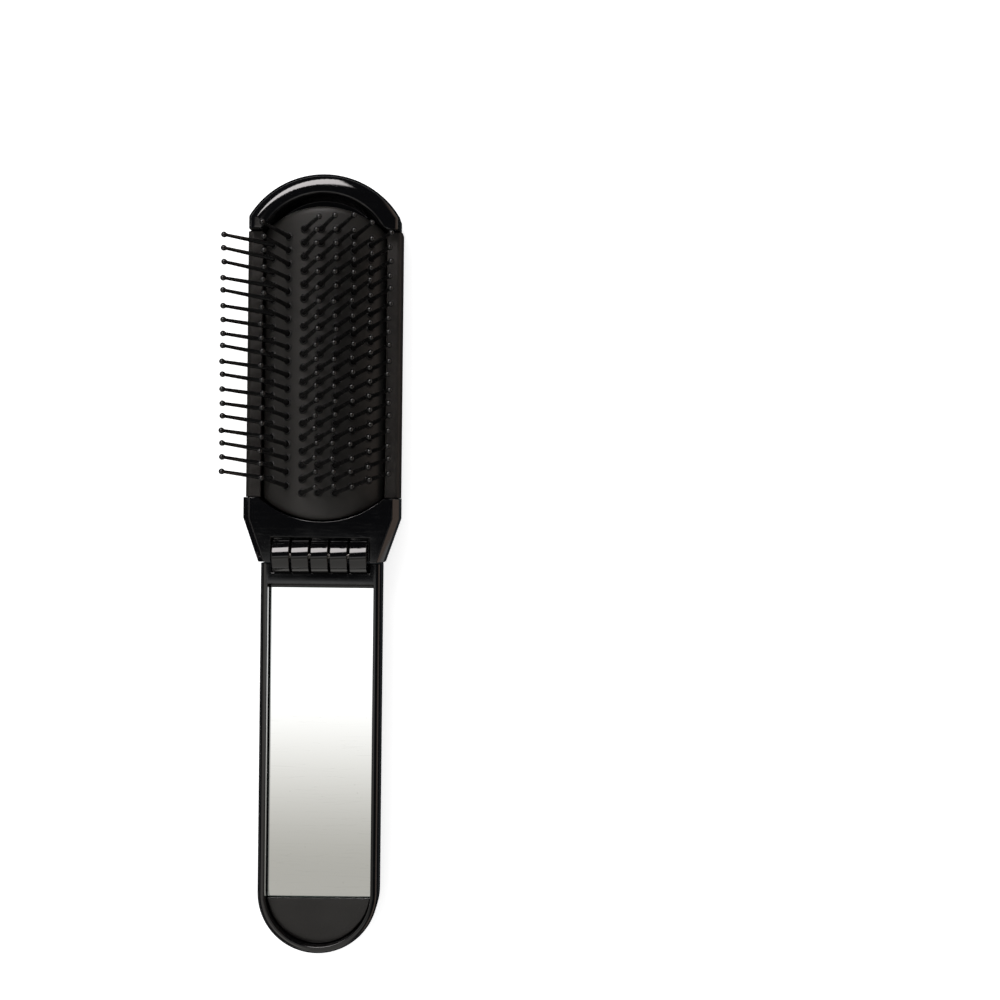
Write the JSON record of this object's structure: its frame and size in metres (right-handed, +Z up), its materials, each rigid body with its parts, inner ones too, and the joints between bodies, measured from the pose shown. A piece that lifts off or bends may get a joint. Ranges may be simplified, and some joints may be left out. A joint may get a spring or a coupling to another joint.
{
  "type": "folding hairbrush with mirror",
  "caption": "Folding travel hairbrush: arched rubber pad with rows of ball-tipped pins, hinged to a handle that holds a mirror and folds over the pins.",
  "frame": {"origin": "on the plane the brush lies on, under the middle of the hinge axis", "axes": "+Y along the brush half to its rounded tip, the mirror half lies along -Y, +Z up to the pin side, +X across to the right"},
  "size_m": [0.0455, 0.1976, 0.0286],
  "materials": {
    "gloss_black": "moulded, polished black",
    "soft_black": "fine matte texture, soft to the touch",
    "pad_rubber": "matte black rubber",
    "pin_nylon": "satin black nylon with round tips",
    "pin_steel": "ground steel rod",
    "inner_plastic": "plain black moulding",
    "tray_black": "satin black moulding",
    "foam_tape": "white foam tape",
    "mirror": "silvered flat glass"
  },
  "bodies": {
    "head": {"head_shell": "gloss_black", "head_back_cover": "gloss_black", "side_rail_left": "soft_black", "side_rail_right": "soft_black", "bristle_pad": "pad_rubber", "hinge_pin": "pin_steel"},
    "mirror_handle": {"handle_shell": "gloss_black", "mirror_tray": "tray_black", "mirror_tape": "foam_tape", "mirror_glass": "mirror"},
    "button": {"push_button": "gloss_black", "pad_lifter": "inner_plastic"},
    "row_1": {"pin_row_1": "pin_nylon"},
    "row_2": {"pin_row_2": "pin_nylon"},
    "row_3": {"pin_row_3": "pin_nylon"},
    "row_4": {"pin_row_4": "pin_nylon"},
    "row_5": {"pin_row_5": "pin_nylon"},
    "row_6": {"pin_row_6": "pin_nylon"},
    "row_7": {"pin_row_7": "pin_nylon"}
  },
  "joints": [
    {"name": "handle_fold", "type": "hinge", "parent": "head", "child": "mirror_handle", "pos_m": [0, 0, 0.01375], "axis": [-1, 0, 0], "range_deg": [0, 180]},
    {"name": "button_slide", "type": "slide", "parent": "head", "child": "button", "axis": [0, 0, 1], "range_m": [-0.0102, 0], "deforming": ["bristle_pad"]},
    {"name": "row_1_turn", "type": "hinge", "parent": "head", "child": "row_1", "pos_m": [-0.01673, 0.0486, 0.00708], "axis": [0, 1, 0], "range_deg": [0, 65]},
    {"name": "row_2_turn", "type": "hinge", "parent": "head", "child": "row_2", "pos_m": [-0.0316, 0.0486, 0.0071], "axis": [0, 1, 0], "range_deg": [0, 20]},
    {"name": "row_3_turn", "type": "hinge", "parent": "head", "child": "row_3", "pos_m": [0.02424, 0.0486, 0.01131], "axis": [0, 1, 0], "range_deg": [-19, 0]},
    {"name": "row_4_turn", "type": "hinge", "parent": "head", "child": "row_4", "pos_m": [0.0283, 0.0486, 0.0104], "axis": [0, 1, 0], "range_deg": [-20, 0]},
    {"name": "row_5_turn", "type": "hinge", "parent": "head", "child": "row_5", "pos_m": [0.03002, 0.0486, 0.00916], "axis": [0, 1, 0], "range_deg": [-21, 0]},
    {"name": "row_6_turn", "type": "hinge", "parent": "head", "child": "row_6", "pos_m": [0.02964, 0.0486, 0.00758], "axis": [0, 1, 0], "range_deg": [-22, 0]},
    {"name": "row_7_turn", "type": "hinge", "parent": "head", "child": "row_7", "pos_m": [0.02694, 0.0486, 0.00554], "axis": [0, 1, 0], "range_deg": [-23, 0]}
  ],
  "couplings": [
    {"joint": "button_slide", "follows": "handle_fold", "m_per_rad": -0.0032468},
    {"joint": "row_1_turn", "follows": "handle_fold", "ratio": 0.36111},
    {"joint": "row_2_turn", "follows": "handle_fold", "ratio": 0.11111},
    {"joint": "row_3_turn", "follows": "handle_fold", "ratio": -0.10556},
    {"joint": "row_4_turn", "follows": "handle_fold", "ratio": -0.11111},
    {"joint": "row_5_turn", "follows": "handle_fold", "ratio": -0.11667},
    {"joint": "row_6_turn", "follows": "handle_fold", "ratio": -0.12222},
    {"joint": "row_7_turn", "follows": "handle_fold", "ratio": -0.12778}
  ]
}
